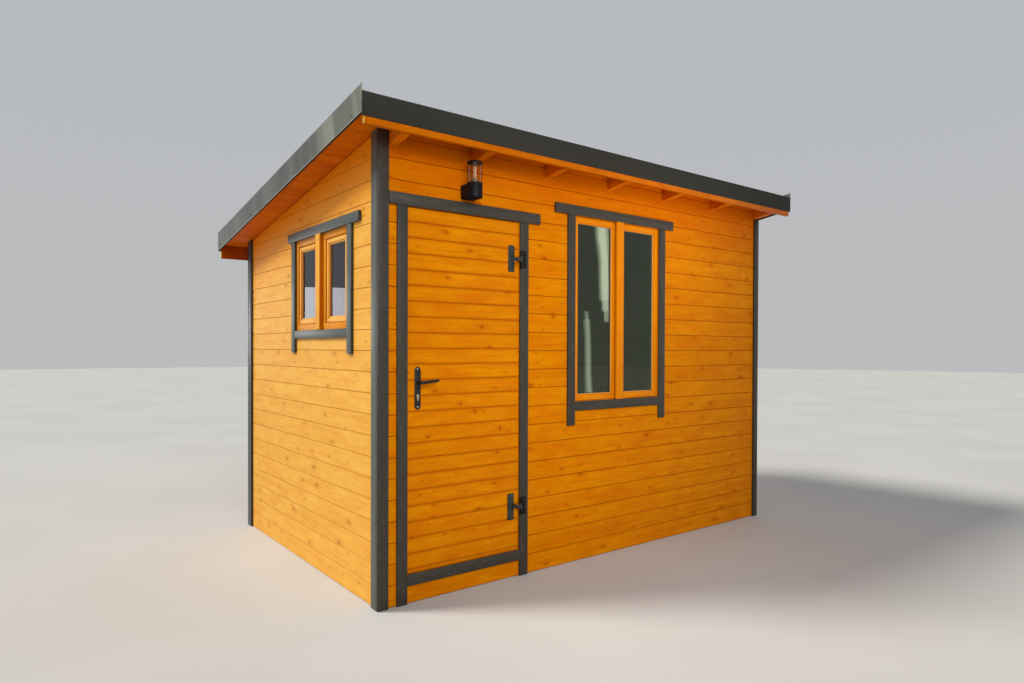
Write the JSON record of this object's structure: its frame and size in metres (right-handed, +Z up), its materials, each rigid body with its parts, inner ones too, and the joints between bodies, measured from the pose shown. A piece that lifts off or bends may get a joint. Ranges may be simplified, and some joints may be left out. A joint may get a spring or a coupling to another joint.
{
  "type": "garden sauna",
  "caption": "Timber garden sauna cabin with a mono-pitch roof, dark trim boards, a hinged board door with a lever handle, glazed windows and a wall lamp.",
  "frame": {"origin": "on the ground under the middle of the roof's outline", "axes": "+X to the right along the front wall as seen from outside, +Y from the front wall to the back wall, +Z up"},
  "size_m": [3.78, 2.56, 2.6435],
  "materials": {
    "cladding_wood": "satin stained",
    "roof_wood": "satin stained",
    "window_wood": "satin stained",
    "inner_wood": "planed",
    "trim_paint": "dark grey paint, matt",
    "edge_sheet": "dark grey coated sheet, satin",
    "covering": "matt membrane",
    "insulation": "matt foam board",
    "black_steel": "black coated, satin",
    "cylinder_steel": "brushed",
    "pane_glass": "clear",
    "lamp_glass": "clear",
    "lamp_white": "gloss"
  },
  "bodies": {
    "cabin": {"back_flashing": "edge_sheet", "back_wall": "cladding_wood", "barge_boards": "roof_wood", "corner_trims_front_back": "trim_paint", "corner_trims_sides": "trim_paint", "door_head_and_foot_trims": "trim_paint", "door_head_and_sill": "window_wood", "door_jambs": "window_wood", "door_side_trims": "trim_paint", "eaves_blocks": "cladding_wood", "fascia_boards": "roof_wood", "floor_boards": "inner_wood", "floor_joists": "inner_wood", "front_flashing": "edge_sheet", "front_wall_left": "cladding_wood", "front_wall_over_door": "cladding_wood", "front_wall_right": "cladding_wood", "front_wall_under_door": "cladding_wood", "front_window_frame": "window_wood", "front_window_glass": "pane_glass", "front_window_head_and_foot_trims": "trim_paint", "front_window_sashes": "window_wood", "front_window_side_trims": "trim_paint", "hinge_jamb_plates": "black_steel", "lamp_body": "black_steel", "lamp_glass": "lamp_glass", "lamp_lid": "black_steel", "lamp_tube": "lamp_white", "left_wall": "cladding_wood", "rafters": "roof_wood", "right_wall": "cladding_wood", "roof_boards": "roof_wood", "roof_covering": "covering", "roof_insulation": "insulation", "side_window_frame": "window_wood", "side_window_glass": "pane_glass", "side_window_head_and_foot_trims": "trim_paint", "side_window_sashes": "window_wood", "side_window_side_trims": "trim_paint", "verge_flashings": "edge_sheet"},
    "door": {"door_leaf": "cladding_wood", "hinge_straps": "black_steel", "handle_plates": "black_steel", "lock_cylinder": "cylinder_steel"},
    "lever": {"handle_levers": "black_steel"}
  },
  "joints": [
    {"name": "door_hinge", "type": "hinge", "parent": "cabin", "child": "door", "pos_m": [-0.778, -1.118, 1.1645], "axis": [0, 0, 1], "range_deg": [0, 110]},
    {"name": "lever_turn", "type": "hinge", "parent": "door", "child": "lever", "pos_m": [-1.4725, -1.09, 1.185], "axis": [0, 1, 0], "range_deg": [0, 35], "stiffness_Nm_per_rad": 1.5, "springref_deg": -20.05}
  ]
}
